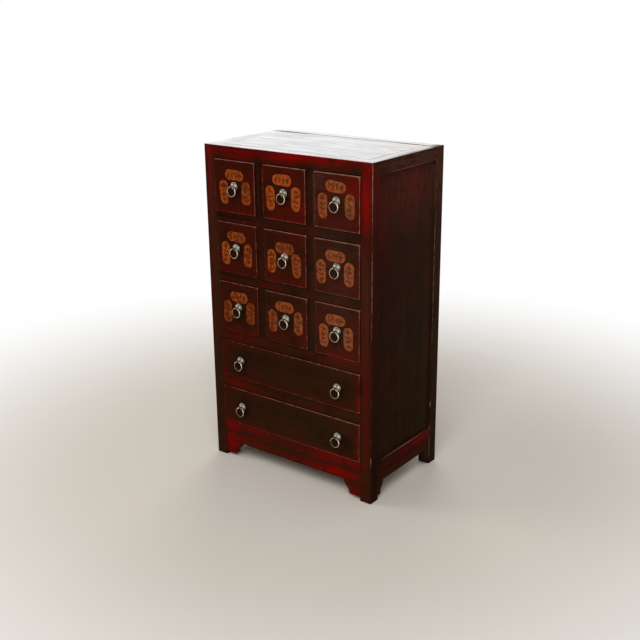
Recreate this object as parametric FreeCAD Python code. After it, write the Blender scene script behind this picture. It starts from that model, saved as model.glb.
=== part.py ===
import FreeCAD, Part
import math
import os

# Front layout, from the floor up and from post to post
FRAME_SECTION = 32.0  # side of the square posts and of the top rails
SMALL_OPENING_WIDTH = 131.0
SMALL_OPENING_HEIGHT = 132.0
WIDE_OPENING_HEIGHT = 102.0
MUNTIN_WIDTH = 24.0
ROW_RAIL_HEIGHT = 24.0  # rails between the small drawers
WIDE_RAIL_HEIGHT = 28.0  # rails above and between the wide drawers
BOTTOM_RAIL_HEIGHT = 30.0
APRON_HEIGHT = 30.0
FOOT_CLEARANCE = 44.0  # floor to the straight edge of the aprons
DEPTH = 304.0  # front face to back face of the posts

# Rails, muntins and their tenons
RAIL_DEPTH = 28.0
TENON_LENGTH = 10.0
TENON_THICKNESS = 10.0
TENON_SHOULDER = 3.0
MUNTIN_TENON_LENGTH = 8.0
MUNTIN_TENON_WIDTH = 12.0
TENON_CLEARANCE = 0.2

# Panels in their grooves
GROOVE_DEPTH = 8.0
GROOVE_CLEARANCE = 0.15
PANEL_PLAY = 0.5  # room for a panel to swell at the bottom of its groove
SIDE_PANEL_THICKNESS = 10.0
SIDE_PANEL_SETBACK = 7.0
BACK_PANEL_THICKNESS = 8.0
BACK_PANEL_SETBACK = 6.0
TOP_PANEL_THICKNESS = 12.0
TOP_TONGUE_THICKNESS = 6.0
SHRINK_GAP = 1.0  # open line round the top panel

# Aprons with their spandrels
APRON_THICKNESS = 14.0
APRON_SETBACK = 2.0
TOE_CLEARANCE = 9.0  # floor to the toe of a spandrel
TOE_ROUND = 4.0
SPANDREL_SWELL = 1.5  # how far the ogee bows from a straight line
FRONT_CUSP_WIDTH = 52.0
FRONT_TOE_WIDTH = 34.0
SIDE_CUSP_WIDTH = 26.0
SIDE_TOE_WIDTH = 14.0

# Inner carcass
SHELF_THICKNESS = 12.0
PARTITION_THICKNESS = 20.0
CLEAT_HEIGHT = 12.0
CLEAT_BEARING = 12.0  # how far a cleat reaches under its shelf
GUIDE_RISE = 14.0  # guide strip above the shelf

# Drawers
DRAWER_CLEARANCE = 1.0
FRONT_THICKNESS = 18.0
FRONT_PROUD = 3.0
FRONT_EDGE_ROUND = 1.5
BOX_SIDE_THICKNESS = 9.0
BOX_BACK_THICKNESS = 9.0
BOX_BOTTOM_THICKNESS = 6.0
BOX_TOP_CLEARANCE = 10.0
BOX_BACK_INSET = 4.0
BOX_BACK_DROP = 6.0
BOTTOM_LIFT = 8.0
BOTTOM_GROOVE = 4.0
BACK_DADO = 3.0
STOP_GAP = 1.0  # closed drawer to back panel
TAIL_COUNT = 3
TAIL_LENGTH = 11.0
TAIL_WIDTH = 20.0
TAIL_ROOT_WIDTH = 14.0

# Ring pulls
PULL_RISE = 2.0  # boss axis above the middle of the drawer
BOSS_RADIUS = 10.8
BOSS_FLANGE = 1.8
BOSS_FLANGE_ROUND = 0.6
DOME_RADIUS = 9.0
BOSS_HEIGHT = 7.2
RING_OUTER_DIAMETER = 26.5
RING_WIRE_DIAMETER = 3.0
EYE_WIRE_DIAMETER = 1.8
EYE_CLEARANCE = 0.35
EYE_STANDOFF = 0.1
PIN_DIAMETER = 3.0
PIN_CLEARANCE = 0.1
LEG_WIDTH = 2.6
LEG_THICKNESS = 1.4
LEG_LENGTH = 13.0

COLUMN_NAMES = ("left", "centre", "right")
SMALL_ROW_NAMES = ("top", "middle", "lower")
WIDE_ROW_NAMES = ("upper_wide", "bottom_wide")

# Sizes that follow from the driving ones
COLUMN_PITCH = SMALL_OPENING_WIDTH + MUNTIN_WIDTH
WIDTH = 2 * FRAME_SECTION + len(COLUMN_NAMES) * COLUMN_PITCH - MUNTIN_WIDTH
HALF_WIDTH = WIDTH / 2
POST_INNER_X = HALF_WIDTH - FRAME_SECTION
BOTTOM_RAIL_Z = FOOT_CLEARANCE + APRON_HEIGHT

RING_WIRE_RADIUS = RING_WIRE_DIAMETER / 2
RING_RADIUS = RING_OUTER_DIAMETER / 2 - RING_WIRE_RADIUS
EYE_WIRE_RADIUS = EYE_WIRE_DIAMETER / 2
EYE_RADIUS = RING_WIRE_RADIUS + EYE_CLEARANCE + EYE_WIRE_RADIUS
EYE_REACH = BOSS_HEIGHT + EYE_STANDOFF + EYE_RADIUS + EYE_WIRE_RADIUS  # drawer face to eye centre
PIN_RADIUS = PIN_DIAMETER / 2

# The origin is on the floor under the middle of the whole chest, pulls included
PULL_PROJECTION = FRONT_PROUD + EYE_REACH + EYE_RADIUS + EYE_WIRE_RADIUS
FRONT_Y = (PULL_PROJECTION - DEPTH) / 2
BACK_Y = FRONT_Y + DEPTH
RAIL_BACK_Y = FRONT_Y + RAIL_DEPTH
FRONT_POST_BACK_Y = FRONT_Y + FRAME_SECTION
BACK_POST_FRONT_Y = BACK_Y - FRAME_SECTION
BACK_PANEL_FRONT_Y = BACK_Y - BACK_PANEL_SETBACK - BACK_PANEL_THICKNESS
SIDE_PANEL_INNER_X = HALF_WIDTH - SIDE_PANEL_SETBACK - SIDE_PANEL_THICKNESS
FACE_Y = FRONT_Y - FRONT_PROUD  # outer face of the drawer fronts
FRONT_INNER_Y = FACE_Y + FRONT_THICKNESS

# Rows from the top down: name, opening height, height of the rail under it
ROWS = [
    (SMALL_ROW_NAMES[0], SMALL_OPENING_HEIGHT, ROW_RAIL_HEIGHT),
    (SMALL_ROW_NAMES[1], SMALL_OPENING_HEIGHT, ROW_RAIL_HEIGHT),
    (SMALL_ROW_NAMES[2], SMALL_OPENING_HEIGHT, WIDE_RAIL_HEIGHT),
    (WIDE_ROW_NAMES[0], WIDE_OPENING_HEIGHT, WIDE_RAIL_HEIGHT),
    (WIDE_ROW_NAMES[1], WIDE_OPENING_HEIGHT, BOTTOM_RAIL_HEIGHT),
]
TOP_RAIL_Z = BOTTOM_RAIL_Z + sum(opening + rail for _, opening, rail in ROWS)
HEIGHT = TOP_RAIL_Z + FRAME_SECTION

OPENING = {name: opening for name, opening, _ in ROWS}
FLOOR = {}
level = TOP_RAIL_Z
for name, opening, rail in ROWS:
    FLOOR[name] = level - opening
    level -= opening + rail

COLUMN_X = {name: (i - (len(COLUMN_NAMES) - 1) / 2) * COLUMN_PITCH for i, name in enumerate(COLUMN_NAMES)}
MUNTIN_X = [x + COLUMN_PITCH / 2 for x in list(COLUMN_X.values())[:-1]]

# Each drawer: its row, its opening's left and right, and its pulls by name
DRAWERS = {}
for row in SMALL_ROW_NAMES:
    for column, x in COLUMN_X.items():
        sides = (x - SMALL_OPENING_WIDTH / 2, x + SMALL_OPENING_WIDTH / 2)
        DRAWERS[f"{row}_{column}"] = (row, sides, {f"{row}_{column}": x})
for row in WIDE_ROW_NAMES:
    outer = {f"{row}_{column}": COLUMN_X[column] for column in (COLUMN_NAMES[0], COLUMN_NAMES[-1])}
    DRAWERS[row] = (row, (-POST_INNER_X, POST_INNER_X), outer)


def block(x, y, z):
    corner = FreeCAD.Vector(x[0], y[0], z[0])
    return Part.makeBox(x[1] - x[0], y[1] - y[0], z[1] - z[0], corner)


def widened(limits, margin):
    return (limits[0] - margin, limits[1] + margin)


def about(middle, size):
    return (middle - size / 2, middle + size / 2)


def flipped(shape):
    return shape.mirror(FreeCAD.Vector(0, 0, 0), FreeCAD.Vector(1, 0, 0))


def both_sides(shape):
    return [shape, flipped(shape)]


def prism(points, along):
    return Part.Face(Part.makePolygon(points + points[:1])).extrude(along)


def save(node, solids):
    Part.makeCompound(solids).exportStep(f"parts/{node}.step")


# Three members share the cube at a top corner along its diagonal planes
def mitred(member, corner, own, others):
    for first, second in (others, others[::-1]):
        member = member.cut(prism([corner, corner + first, corner + first + own], second))
    return member


INWARD_X = FreeCAD.Vector(FRAME_SECTION, 0, 0)
BACKWARD = FreeCAD.Vector(0, FRAME_SECTION, 0)
DOWNWARD = FreeCAD.Vector(0, 0, -FRAME_SECTION)


def top_corner(right, back):
    x = HALF_WIDTH if right else -HALF_WIDTH
    y = BACK_Y if back else FRONT_Y
    inward_x = INWARD_X * (-1 if right else 1)
    inward_y = BACKWARD * (-1 if back else 1)
    return FreeCAD.Vector(x, y, HEIGHT), inward_x, inward_y


def right_post(back):
    y = (BACK_POST_FRONT_Y, BACK_Y) if back else (FRONT_Y, FRONT_POST_BACK_Y)
    corner, inward_x, inward_y = top_corner(True, back)
    post = block((POST_INNER_X, HALF_WIDTH), y, (0, HEIGHT))
    return mitred(post, corner, DOWNWARD, [inward_x, inward_y])


def top_cross_rail(back):
    y = (BACK_POST_FRONT_Y, BACK_Y) if back else (FRONT_Y, FRONT_POST_BACK_Y)
    rail = block((-HALF_WIDTH, HALF_WIDTH), y, (TOP_RAIL_Z, HEIGHT))
    for right in (False, True):
        corner, inward_x, inward_y = top_corner(right, back)
        rail = mitred(rail, corner, inward_x, [inward_y, DOWNWARD])
    return rail


def top_right_rail():
    rail = block((POST_INNER_X, HALF_WIDTH), (FRONT_Y, BACK_Y), (TOP_RAIL_Z, HEIGHT))
    for back in (False, True):
        corner, inward_x, inward_y = top_corner(True, back)
        rail = mitred(rail, corner, inward_y, [inward_x, DOWNWARD])
    return rail


# A rail across the chest with a stub tenon at each end, and the two mortises
def cross_rail(y, tenon_y, z, tenon_z):
    rail = block((-POST_INNER_X, POST_INNER_X), y, z)
    tenon = block(widened((-POST_INNER_X, POST_INNER_X), TENON_LENGTH), tenon_y, tenon_z)
    socket_x = widened((-POST_INNER_X, POST_INNER_X), TENON_LENGTH + TENON_CLEARANCE)
    socket = block(socket_x, widened(tenon_y, TENON_CLEARANCE), widened(tenon_z, TENON_CLEARANCE))
    return rail.fuse(tenon).removeSplitter(), socket


def right_side_rail(z, tenon_z):
    y = (FRONT_POST_BACK_Y, BACK_POST_FRONT_Y)
    tenon_x = about(HALF_WIDTH - FRAME_SECTION / 2, TENON_THICKNESS)
    rail = block((HALF_WIDTH - RAIL_DEPTH, HALF_WIDTH), y, z)
    tenon = block(tenon_x, widened(y, TENON_LENGTH), tenon_z)
    socket_y = widened(y, TENON_LENGTH + TENON_CLEARANCE)
    socket = block(widened(tenon_x, TENON_CLEARANCE), socket_y, widened(tenon_z, TENON_CLEARANCE))
    return rail.fuse(tenon).removeSplitter(), socket


# An upright between two rails with a stub tenon at each end, and the two mortises
def muntin(x, z):
    tenon_x = about(x, MUNTIN_TENON_WIDTH)
    tenon_y = about(FRONT_Y + FRAME_SECTION / 2, TENON_THICKNESS)
    upright = block(about(x, MUNTIN_WIDTH), (FRONT_Y, RAIL_BACK_Y), z)
    tenon = block(tenon_x, tenon_y, widened(z, MUNTIN_TENON_LENGTH))
    socket_z = widened(z, MUNTIN_TENON_LENGTH + TENON_CLEARANCE)
    socket = block(widened(tenon_x, TENON_CLEARANCE), widened(tenon_y, TENON_CLEARANCE), socket_z)
    return upright.fuse(tenon).removeSplitter(), socket


# An apron between two posts: a straight edge that turns down in an ogee to a toe beside each post
def apron_face(half_length, cusp_width, toe_width, place):
    toe_top = TOE_CLEARANCE + TOE_ROUND
    cusp = (half_length - cusp_width, FOOT_CLEARANCE)
    ankle = (half_length - toe_width, toe_top)
    middle = ((cusp[0] + ankle[0]) / 2, (cusp[1] + ankle[1]) / 2)
    upper = ((cusp[0] + middle[0]) / 2 - SPANDREL_SWELL, (cusp[1] + middle[1]) / 2)
    lower = ((ankle[0] + middle[0]) / 2 + SPANDREL_SWELL, (ankle[1] + middle[1]) / 2)
    tuck = TOE_ROUND * (1 - math.sqrt(0.5))
    heel = (ankle[0] + tuck, TOE_CLEARANCE + tuck)
    sole = (ankle[0] + TOE_ROUND, TOE_CLEARANCE)
    end = (half_length, TOE_CLEARANCE)
    shoulder = (half_length, BOTTOM_RAIL_Z)
    edges = []
    for sign in (1, -1):
        arcs = [(cusp, upper, middle), (middle, lower, ankle), (ankle, heel, sole)]
        for arc in arcs:
            edges.append(Part.Arc(*[place(sign * s, z) for s, z in arc]).toShape())
        for start, stop in ((sole, end), (end, shoulder)):
            edges.append(Part.makeLine(place(sign * start[0], start[1]), place(sign * stop[0], stop[1])))
    for s, z in (cusp, shoulder):
        edges.append(Part.makeLine(place(-s, z), place(s, z)))
    return Part.Face(Part.Wire(Part.__sortEdges__(edges)))


def front_apron():
    y = FRONT_Y + APRON_SETBACK
    face = apron_face(POST_INNER_X, FRONT_CUSP_WIDTH, FRONT_TOE_WIDTH, lambda s, z: FreeCAD.Vector(s, y, z))
    return face.extrude(FreeCAD.Vector(0, APRON_THICKNESS, 0))


def right_apron():
    x = HALF_WIDTH - APRON_SETBACK
    middle = (FRONT_Y + BACK_Y) / 2
    half_length = DEPTH / 2 - FRAME_SECTION
    face = apron_face(half_length, SIDE_CUSP_WIDTH, SIDE_TOE_WIDTH, lambda s, z: FreeCAD.Vector(x, middle + s, z))
    return face.extrude(FreeCAD.Vector(-APRON_THICKNESS, 0, 0))


# A board and the groove that takes its edges
def right_side_panel():
    x = (SIDE_PANEL_INNER_X, HALF_WIDTH - SIDE_PANEL_SETBACK)
    groove_y = widened((FRONT_POST_BACK_Y, BACK_POST_FRONT_Y), GROOVE_DEPTH)
    groove_z = (FLOOR[WIDE_ROW_NAMES[-1]] - GROOVE_DEPTH, TOP_RAIL_Z + GROOVE_DEPTH)
    panel = block(x, widened(groove_y, -PANEL_PLAY), (groove_z[0], groove_z[1] - PANEL_PLAY))
    return panel, block(widened(x, GROOVE_CLEARANCE), groove_y, groove_z)


def back_panel():
    y = (BACK_PANEL_FRONT_Y, BACK_Y - BACK_PANEL_SETBACK)
    groove_x = widened((-POST_INNER_X, POST_INNER_X), GROOVE_DEPTH)
    groove_z = (FLOOR[WIDE_ROW_NAMES[-1]] - GROOVE_DEPTH, TOP_RAIL_Z + GROOVE_DEPTH)
    panel = block(widened(groove_x, -PANEL_PLAY), y, (groove_z[0], groove_z[1] - PANEL_PLAY))
    return panel, block(groove_x, widened(y, GROOVE_CLEARANCE), groove_z)


# The top panel lies flush in its frame on a tongue that runs round its lower half
def top_panel():
    inner_x = (-POST_INNER_X, POST_INNER_X)
    inner_y = (FRONT_POST_BACK_Y, BACK_POST_FRONT_Y)
    tongue_z = (HEIGHT - TOP_PANEL_THICKNESS, HEIGHT - TOP_PANEL_THICKNESS + TOP_TONGUE_THICKNESS)
    field = block(widened(inner_x, -SHRINK_GAP), widened(inner_y, -SHRINK_GAP), (tongue_z[0], HEIGHT))
    reach = GROOVE_DEPTH - PANEL_PLAY
    tongue = block(widened(inner_x, reach), widened(inner_y, reach), tongue_z)
    groove_z = (tongue_z[0], tongue_z[1] + GROOVE_CLEARANCE)
    groove = block(widened(inner_x, GROOVE_DEPTH), widened(inner_y, GROOVE_DEPTH), groove_z)
    return field.fuse(tongue).removeSplitter(), groove


# A drawer's front, and the box behind it: sides with dovetails, a back in dadoes and a bottom in grooves
def drawer(row, sides):
    floor = FLOOR[row]
    x = widened(sides, -DRAWER_CLEARANCE)
    front_z = widened((floor, floor + OPENING[row]), -DRAWER_CLEARANCE)
    side_z = (floor, floor + OPENING[row] - BOX_TOP_CLEARANCE)
    rear = BACK_PANEL_FRONT_Y - STOP_GAP
    back_y = (rear - BOX_BACK_INSET - BOX_BACK_THICKNESS, rear - BOX_BACK_INSET)
    bottom_z = (floor + BOTTOM_LIFT, floor + BOTTOM_LIFT + BOX_BOTTOM_THICKNESS)
    inner_x = widened(x, -BOX_SIDE_THICKNESS)

    bottom = block(widened(inner_x, BOTTOM_GROOVE), (FRONT_INNER_Y, back_y[1]), bottom_z)
    lip = block(inner_x, (FRONT_INNER_Y - BOTTOM_GROOVE, FRONT_INNER_Y), bottom_z)
    side_groove = block(widened(inner_x, BOTTOM_GROOVE), (FRONT_INNER_Y, rear), bottom_z)
    back = block(widened(inner_x, BACK_DADO), back_y, (bottom_z[1], side_z[1] - BOX_BACK_DROP))
    dado = block(widened(inner_x, BACK_DADO), back_y, (bottom_z[1], side_z[1]))

    walls = []
    for wall_x in ((x[0], inner_x[0]), (inner_x[1], x[1])):
        wall = block(wall_x, (FRONT_INNER_Y, rear), side_z).cut([side_groove, dado])
        walls.append((wall, dovetails(wall_x, side_z)))

    face = block(x, (FACE_Y, FRONT_INNER_Y), front_z)
    rim = [e for e in face.Edges if all(abs(v.Point.y - FACE_Y) < FRONT_EDGE_ROUND / 2 for v in e.Vertexes)]
    face = face.makeFillet(FRONT_EDGE_ROUND, rim).cut([lip] + [tail for _, tails in walls for tail in tails])
    box = [wall.fuse(tails).removeSplitter() for wall, tails in walls]
    return face, box + [back, bottom.fuse(lip).removeSplitter()]


def dovetails(wall_x, side_z):
    pitch = (side_z[1] - side_z[0]) / TAIL_COUNT
    tails = []
    for i in range(TAIL_COUNT):
        z = side_z[0] + (i + 0.5) * pitch
        corners = [
            (FRONT_INNER_Y, -TAIL_ROOT_WIDTH / 2),
            (FRONT_INNER_Y - TAIL_LENGTH, -TAIL_WIDTH / 2),
            (FRONT_INNER_Y - TAIL_LENGTH, TAIL_WIDTH / 2),
            (FRONT_INNER_Y, TAIL_ROOT_WIDTH / 2),
        ]
        points = [FreeCAD.Vector(wall_x[0], y, z + dz) for y, dz in corners]
        tails.append(prism(points, FreeCAD.Vector(wall_x[1] - wall_x[0], 0, 0)))
    return tails


# A turned boss: a thin flange under a low dome, bored for the split pin; it faces -Y from the origin
def boss():
    dome_rise = BOSS_HEIGHT - BOSS_FLANGE
    dome_sphere = (DOME_RADIUS**2 + dome_rise**2) / (2 * dome_rise)
    half_angle = math.asin(DOME_RADIUS / dome_sphere) / 2
    crown = (
        dome_sphere * math.sin(half_angle),
        BOSS_HEIGHT - dome_sphere * (1 - math.cos(half_angle)),
    )
    tuck = BOSS_FLANGE_ROUND * (1 - math.sqrt(0.5))
    rim = [
        (BOSS_RADIUS, BOSS_FLANGE - BOSS_FLANGE_ROUND),
        (BOSS_RADIUS - tuck, BOSS_FLANGE - tuck),
        (BOSS_RADIUS - BOSS_FLANGE_ROUND, BOSS_FLANGE),
    ]

    def place(r, h):
        return FreeCAD.Vector(r, -h, 0)

    edges = [
        Part.makeLine(place(0, 0), place(BOSS_RADIUS, 0)),
        Part.makeLine(place(BOSS_RADIUS, 0), place(*rim[0])),
        Part.Arc(*[place(*p) for p in rim]).toShape(),
        Part.makeLine(place(*rim[2]), place(DOME_RADIUS, BOSS_FLANGE)),
        Part.Arc(place(DOME_RADIUS, BOSS_FLANGE), place(*crown), place(0, BOSS_HEIGHT)).toShape(),
        Part.makeLine(place(0, BOSS_HEIGHT), place(0, 0)),
    ]
    turned = Part.Face(Part.Wire(edges)).revolve(FreeCAD.Vector(0, 0, 0), FreeCAD.Vector(0, 1, 0), 360)
    return turned.cut(pin_bore(-BOSS_HEIGHT, 0))


def pin_bore(start, stop):
    axis = FreeCAD.Vector(0, 1, 0)
    return Part.makeCylinder(PIN_RADIUS + PIN_CLEARANCE, stop - start, FreeCAD.Vector(0, start, 0), axis)


# A split pin: an eye in front of the boss, a shank through the front and two ends clinched up and down
def split_pin():
    eye = Part.makeTorus(EYE_RADIUS, EYE_WIRE_RADIUS, FreeCAD.Vector(0, -EYE_REACH, 0), FreeCAD.Vector(1, 0, 0))
    start = EYE_RADIUS - EYE_REACH
    shank_length = FRONT_THICKNESS + LEG_THICKNESS - start
    shank = Part.makeCylinder(PIN_RADIUS, shank_length, FreeCAD.Vector(0, start, 0), FreeCAD.Vector(0, 1, 0))
    ends_y = (FRONT_THICKNESS, FRONT_THICKNESS + LEG_THICKNESS)
    ends = block(about(0, LEG_WIDTH), ends_y, about(0, 2 * LEG_LENGTH))
    return eye.fuse([shank, ends])


def ring():
    centre = FreeCAD.Vector(0, -EYE_REACH, -RING_RADIUS)
    return Part.makeTorus(RING_RADIUS, RING_WIRE_RADIUS, centre, FreeCAD.Vector(0, 1, 0))


def pull_place(row, x):
    return FreeCAD.Vector(x, FACE_Y, FLOOR[row] + OPENING[row] / 2 + PULL_RISE)


def moved(shape, place):
    return shape.translated(place)


os.makedirs("parts", exist_ok=True)

# Rails and muntins, with the mortises that they need
front_tenon_y = about(FRONT_Y + FRAME_SECTION / 2, TENON_THICKNESS)
back_tenon_y = about(BACK_Y - FRAME_SECTION / 2, TENON_THICKNESS)
drawer_rails = []
mortises = []
for row, opening, rail_height in ROWS[:-1]:
    rail_z = (FLOOR[row] - rail_height, FLOOR[row])
    rail, socket = cross_rail((FRONT_Y, RAIL_BACK_Y), front_tenon_y, rail_z, widened(rail_z, -TENON_SHOULDER))
    drawer_rails.append(rail)
    mortises.append(socket)

bottom_z = (BOTTOM_RAIL_Z, BOTTOM_RAIL_Z + BOTTOM_RAIL_HEIGHT)
bottom_tenon_z = (bottom_z[0] + TENON_SHOULDER, bottom_z[1] - GROOVE_DEPTH - TENON_SHOULDER)
front_rail, front_socket = cross_rail((FRONT_Y, RAIL_BACK_Y), front_tenon_y, bottom_z, bottom_tenon_z)
back_rail, back_socket = cross_rail((BACK_Y - RAIL_DEPTH, BACK_Y), back_tenon_y, bottom_z, bottom_tenon_z)
side_rail, side_socket = right_side_rail(bottom_z, bottom_tenon_z)
mortises += [front_socket, back_socket] + both_sides(side_socket)

muntins = []
muntin_sockets = []
for row in SMALL_ROW_NAMES:
    for x in MUNTIN_X:
        upright, socket = muntin(x, (FLOOR[row], FLOOR[row] + OPENING[row]))
        muntins.append(upright)
        muntin_sockets.append(socket)

# Panels, with the grooves that they need
side_panel, side_groove = right_side_panel()
rear_panel, rear_groove = back_panel()
lid_panel, lid_groove = top_panel()
grooves = both_sides(side_groove) + [rear_groove, lid_groove]

# Posts and frames, cut to receive the rails and panels
for node, back in (("front_posts", False), ("back_posts", True)):
    save(node, [post.cut(mortises + grooves) for post in both_sides(right_post(back))])
top_rails = [top_cross_rail(False), top_cross_rail(True)] + both_sides(top_right_rail())
save("top_frame", [rail.cut(grooves + muntin_sockets) for rail in top_rails])
save("top_panel", [lid_panel])
save("side_panels", both_sides(side_panel))
save("back_panel", [rear_panel])
save("drawer_rails", [rail.cut(muntin_sockets) for rail in drawer_rails])
save("muntins", muntins)
save("bottom_rails", [rail.cut(grooves) for rail in [front_rail, back_rail] + both_sides(side_rail)])
save("aprons", [front_apron()] + both_sides(right_apron()))

# Shelves on cleats, with guide strips beside the outer drawers
between_posts_y = (FRONT_POST_BACK_Y, BACK_POST_FRONT_Y)
shelves = []
cleats = []
guides = []
for row, opening, rail_height in ROWS:
    lowest = row == WIDE_ROW_NAMES[-1]
    shelf_z = (FLOOR[row] - SHELF_THICKNESS, FLOOR[row])
    shelf_end = BACK_Y - RAIL_DEPTH if lowest else BACK_PANEL_FRONT_Y
    cleat_end = HALF_WIDTH - RAIL_DEPTH if lowest else SIDE_PANEL_INNER_X
    guide_start = FLOOR[row] if lowest else shelf_z[0]
    shelves.append(block((-POST_INNER_X, POST_INNER_X), (RAIL_BACK_Y, shelf_end), shelf_z))
    cleat_x = (POST_INNER_X - CLEAT_BEARING, cleat_end)
    cleats += both_sides(block(cleat_x, between_posts_y, (shelf_z[0] - CLEAT_HEIGHT, shelf_z[0])))
    guide_x = (POST_INNER_X, SIDE_PANEL_INNER_X)
    guides += both_sides(block(guide_x, between_posts_y, (guide_start, FLOOR[row] + GUIDE_RISE)))
save("shelves", shelves)
save("shelf_cleats", cleats)
save("drawer_guides", guides)

# Partitions stand on each shelf, up to the shelf or the top rails above
partitions = []
ceiling = TOP_RAIL_Z
for row in SMALL_ROW_NAMES:
    for x in MUNTIN_X:
        partition_y = (RAIL_BACK_Y, BACK_PANEL_FRONT_Y)
        partitions.append(block(about(x, PARTITION_THICKNESS), partition_y, (FLOOR[row], ceiling)))
    ceiling = FLOOR[row] - SHELF_THICKNESS
save("partitions", partitions)

# Drawers with their ring pulls
for name, (row, sides, pulls) in DRAWERS.items():
    face, box = drawer(row, sides)
    places = [pull_place(row, x) for x in pulls.values()]
    face = face.cut([moved(pin_bore(0, FRONT_THICKNESS), place) for place in places])
    save(f"drawer_front_{name}", [face])
    save(f"drawer_box_{name}", box)
    save(f"pull_{name}", [moved(shape, place) for place in places for shape in (boss(), split_pin())])
    for pull, place in zip(pulls, places):
        save(f"ring_{pull}", [moved(ring(), place)])
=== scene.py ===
import math

import bpy
import numpy as np
from mathutils import Matrix, Vector


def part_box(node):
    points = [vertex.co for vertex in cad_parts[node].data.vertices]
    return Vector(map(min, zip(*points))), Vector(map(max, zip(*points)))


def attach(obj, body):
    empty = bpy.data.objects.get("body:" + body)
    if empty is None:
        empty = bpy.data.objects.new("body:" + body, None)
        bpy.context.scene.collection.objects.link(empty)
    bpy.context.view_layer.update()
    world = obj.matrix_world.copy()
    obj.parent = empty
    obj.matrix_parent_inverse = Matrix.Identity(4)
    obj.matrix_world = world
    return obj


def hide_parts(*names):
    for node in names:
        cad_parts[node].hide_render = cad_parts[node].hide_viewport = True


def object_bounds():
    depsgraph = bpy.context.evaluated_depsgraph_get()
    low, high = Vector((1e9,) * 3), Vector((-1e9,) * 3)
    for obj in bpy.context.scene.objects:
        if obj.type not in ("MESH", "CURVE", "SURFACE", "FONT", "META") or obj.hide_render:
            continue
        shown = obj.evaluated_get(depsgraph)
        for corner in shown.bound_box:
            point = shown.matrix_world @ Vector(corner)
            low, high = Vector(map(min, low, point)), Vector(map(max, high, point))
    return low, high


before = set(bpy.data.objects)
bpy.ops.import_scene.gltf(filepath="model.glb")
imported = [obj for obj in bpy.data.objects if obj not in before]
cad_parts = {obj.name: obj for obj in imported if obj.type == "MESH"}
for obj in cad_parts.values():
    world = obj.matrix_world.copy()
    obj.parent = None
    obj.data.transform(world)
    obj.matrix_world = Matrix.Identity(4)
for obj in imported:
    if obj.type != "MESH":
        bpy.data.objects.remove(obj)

cadLow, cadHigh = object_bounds()
scene = bpy.context.scene
scene.view_settings.view_transform = "Standard"
draw = np.random.default_rng(1897)  # one seeded source for every uneven thing
joined = np.concatenate
mm = 0.001


def frontBox(drawer):
    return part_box(f"drawer_front_{drawer}")


# the carcass lines that the boards share, read off the frame
sideX = cadHigh.x
topZ = cadHigh.z
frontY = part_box("front_posts")[0].y
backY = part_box("back_posts")[1].y
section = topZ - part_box("top_frame")[0].z  # side of the square posts and top rails
innerX = sideX - section
innerFrontY = frontY + section
innerBackY = backY - section
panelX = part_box("side_panels")[1].x
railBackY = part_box("muntins")[1].y
smallRows = ("top", "middle", "lower")
columns = ("left", "centre", "right")
wideRows = ("upper_wide", "bottom_wide")
smallDrawers = [f"{row}_{column}" for row in smallRows for column in columns]
drawers = smallDrawers + list(wideRows)
drawerY = frontBox("top_left")[0].y
drawerGap = topZ - section - frontBox("top_left")[1].z
print("frame loaded:", len(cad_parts), "nodes")


# Shader helpers

# sets a node's sockets, each to a plain value or to another node's output
def wire(node, sockets):
    for key, value in sockets.items():
        if isinstance(value, bpy.types.NodeSocket):
            node.id_data.links.new(value, node.inputs[key])
        else:
            node.inputs[key].default_value = value


# a node's outputs; it goes into the tree that is given, or else into that of its first linked socket
def addNode(kind, sockets, tree=None, **settings):
    linked = [value for value in sockets.values() if isinstance(value, bpy.types.NodeSocket)]
    node = (tree or linked[0].id_data).nodes.new("ShaderNode" + kind)
    for key, value in settings.items():
        setattr(node, key, value)
    wire(node, sockets)
    return node.outputs


def maths(operation, *values):
    return addNode("Math", dict(enumerate(values)), operation=operation)[0]


def times(first, second):
    return maths("MULTIPLY", first, second)


def scaled(value, factor, offset):
    return maths("MULTIPLY_ADD", value, factor, offset)


def soften(value, low, high):
    sockets = {"Value": value, "From Min": low, "From Max": high}
    return addNode("MapRange", sockets, interpolation_type="SMOOTHSTEP")[0]


# noise at one scale, or at three along, across and through a board, then softened between limits
def pattern(vector, scale, detail, roughness, *limits):
    if isinstance(scale, tuple):
        vector = addNode("VectorMath", {0: vector, 1: scale}, operation="MULTIPLY")[0]
        scale = 1.0
    sockets = {"Vector": vector, "Scale": scale, "Detail": detail, "Roughness": roughness}
    value = addNode("TexNoise", sockets)["Fac"]
    return soften(value, *limits) if limits else value


def mixColour(factor, first, second, blend="MIX"):
    return addNode("Mix", {0: factor, 6: first, 7: second}, data_type="RGBA", blend_type=blend)[2]


# lays a tint over a colour by a mask, up to the tint's share
def over(colour, mask, tint, share):
    return mixColour(times(mask, share), colour, tint)


def colourRamp(value, stops):
    colour = addNode("ValToRGB", {"Fac": value})["Color"]
    elements = colour.node.color_ramp.elements
    while len(elements) < len(stops):
        elements.new(0.5)
    for element, (place, stop) in zip(elements, stops):
        element.position = place
        element.color = (*stop, 1)
    return colour


# a node group; fill makes its results from its inputs
def makeGroup(name, inputs, fill):
    tree = bpy.data.node_groups.new(name, "ShaderNodeTree")
    for label, kind in inputs.items():
        tree.interface.new_socket(label, in_out="INPUT", socket_type="NodeSocket" + kind)
    results = fill(tree.nodes.new("NodeGroupInput").outputs)
    for label in results:
        tree.interface.new_socket(label, in_out="OUTPUT", socket_type="NodeSocketFloat")
    wire(tree.nodes.new("NodeGroupOutput"), results)
    return tree


# a new material and its Object coordinates
def startMaterial(name):
    material = bpy.data.materials.new(name)
    material.use_nodes = True
    return material, addNode("TexCoord", {}, material.node_tree)["Object"]


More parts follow.
